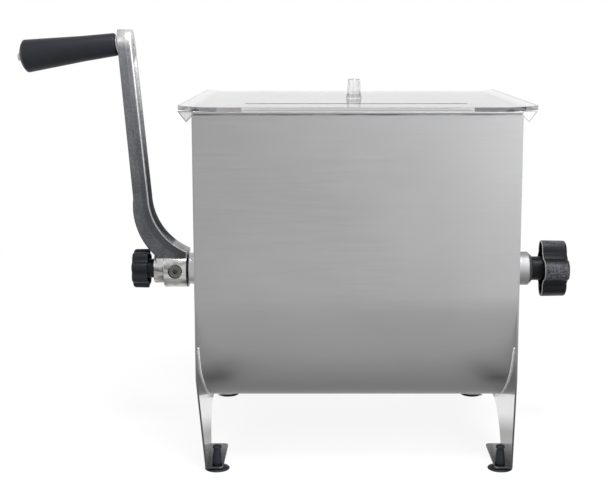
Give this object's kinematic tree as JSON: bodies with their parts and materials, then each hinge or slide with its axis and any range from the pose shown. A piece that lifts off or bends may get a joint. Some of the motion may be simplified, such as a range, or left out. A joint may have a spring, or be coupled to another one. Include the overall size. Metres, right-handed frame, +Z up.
{
  "type": "hand crank meat mixer",
  "caption": "Stainless trough mixer on four suction feet with a clear lift-off lid, a cast side crank, a locking star knob and a lift-out paddle.",
  "frame": {"origin": "on the table, at the middle of the whole object's footprint", "axes": "+X along the crank axis from the crank to the locking knob, +Y to the rear, +Z up"},
  "size_m": [0.4968, 0.248, 0.3691],
  "materials": {
    "satin_stainless": "satin, lightly brushed",
    "bright_stainless": "bright rolled sheet",
    "turned_steel": "turned",
    "blade_steel": "brushed sheet",
    "cast_aluminium": "rough cast sides, polished hub",
    "dark_screw": "blackened steel",
    "black_plastic": "moulded, fine grain",
    "black_rubber": "matt moulded",
    "white_seal": "plain",
    "clear_acrylic": "clear, glossy"
  },
  "bodies": {
    "tub": {"trough_shell": "satin_stainless", "left_end_plate": "bright_stainless", "right_end_plate": "bright_stainless", "left_bearing_boss": "turned_steel", "right_bearing_boss": "turned_steel", "left_bush": "turned_steel", "left_shaft_seal": "white_seal", "front_left_foot": "black_rubber", "front_right_foot": "black_rubber", "rear_left_foot": "black_rubber", "rear_right_foot": "black_rubber"},
    "lid": {"lid_plate": "clear_acrylic", "lid_front_bar": "clear_acrylic", "lid_rear_bar": "clear_acrylic", "lid_knob": "clear_acrylic"},
    "crank": {"crank_arm": "cast_aluminium", "hub_set_screw": "dark_screw", "drive_shaft": "turned_steel", "grip_axle": "turned_steel", "grip_washer": "turned_steel"},
    "grip": {"grip": "black_plastic"},
    "crank_stud": {"crank_knob_stud": "turned_steel"},
    "crank_knob": {"crank_knob": "black_plastic"},
    "lock_stud": {"lock_knob_stud": "turned_steel"},
    "lock_knob": {"lock_knob": "black_plastic"},
    "paddle": {"paddle_shaft": "turned_steel", "paddle_arm_1": "turned_steel", "paddle_arm_2": "turned_steel", "paddle_arm_3": "turned_steel", "paddle_arm_4": "turned_steel", "paddle_blade_1": "blade_steel", "paddle_blade_2": "blade_steel", "paddle_blade_3": "blade_steel", "paddle_blade_4": "blade_steel"}
  },
  "joints": [
    {"name": "crank_turn", "type": "hinge", "parent": "tub", "child": "crank", "pos_m": [0.05264, 0, 0.1516], "axis": [1, 0, 0], "continuous": true},
    {"name": "paddle_turn", "type": "hinge", "parent": "tub", "child": "paddle", "pos_m": [0.05264, 0, 0.1516], "axis": [1, 0, 0], "continuous": true},
    {"name": "grip_spin", "type": "hinge", "parent": "crank", "child": "grip", "pos_m": [-0.15792, 0, 0.3561], "axis": [-0.9917, 0, -0.1288], "continuous": true},
    {"name": "crank_knob_travel", "type": "slide", "parent": "crank", "child": "crank_stud", "axis": [-1, 0, 0], "range_m": [0, 0.0101]},
    {"name": "crank_knob_turn", "type": "hinge", "parent": "crank_stud", "child": "crank_knob", "pos_m": [0.05264, 0, 0.1516], "axis": [-1, 0, 0], "range_deg": [0, 2880]},
    {"name": "lock_knob_travel", "type": "slide", "parent": "tub", "child": "lock_stud", "axis": [1, 0, 0], "range_m": [0, 0.01235]},
    {"name": "lock_knob_turn", "type": "hinge", "parent": "lock_stud", "child": "lock_knob", "pos_m": [0.05264, 0, 0.1516], "axis": [1, 0, 0], "range_deg": [0, 2520]},
    {"name": "lid_lift", "type": "slide", "parent": "tub", "child": "lid", "axis": [0, 0, 1], "range_m": [0, 0.12]}
  ],
  "couplings": [
    {"joint": "paddle_turn", "follows": "crank_turn", "ratio": 1},
    {"joint": "crank_knob_travel", "follows": "crank_knob_turn", "m_per_rad": 0.00019894},
    {"joint": "lock_knob_travel", "follows": "lock_knob_turn", "m_per_rad": 0.00027852}
  ]
}
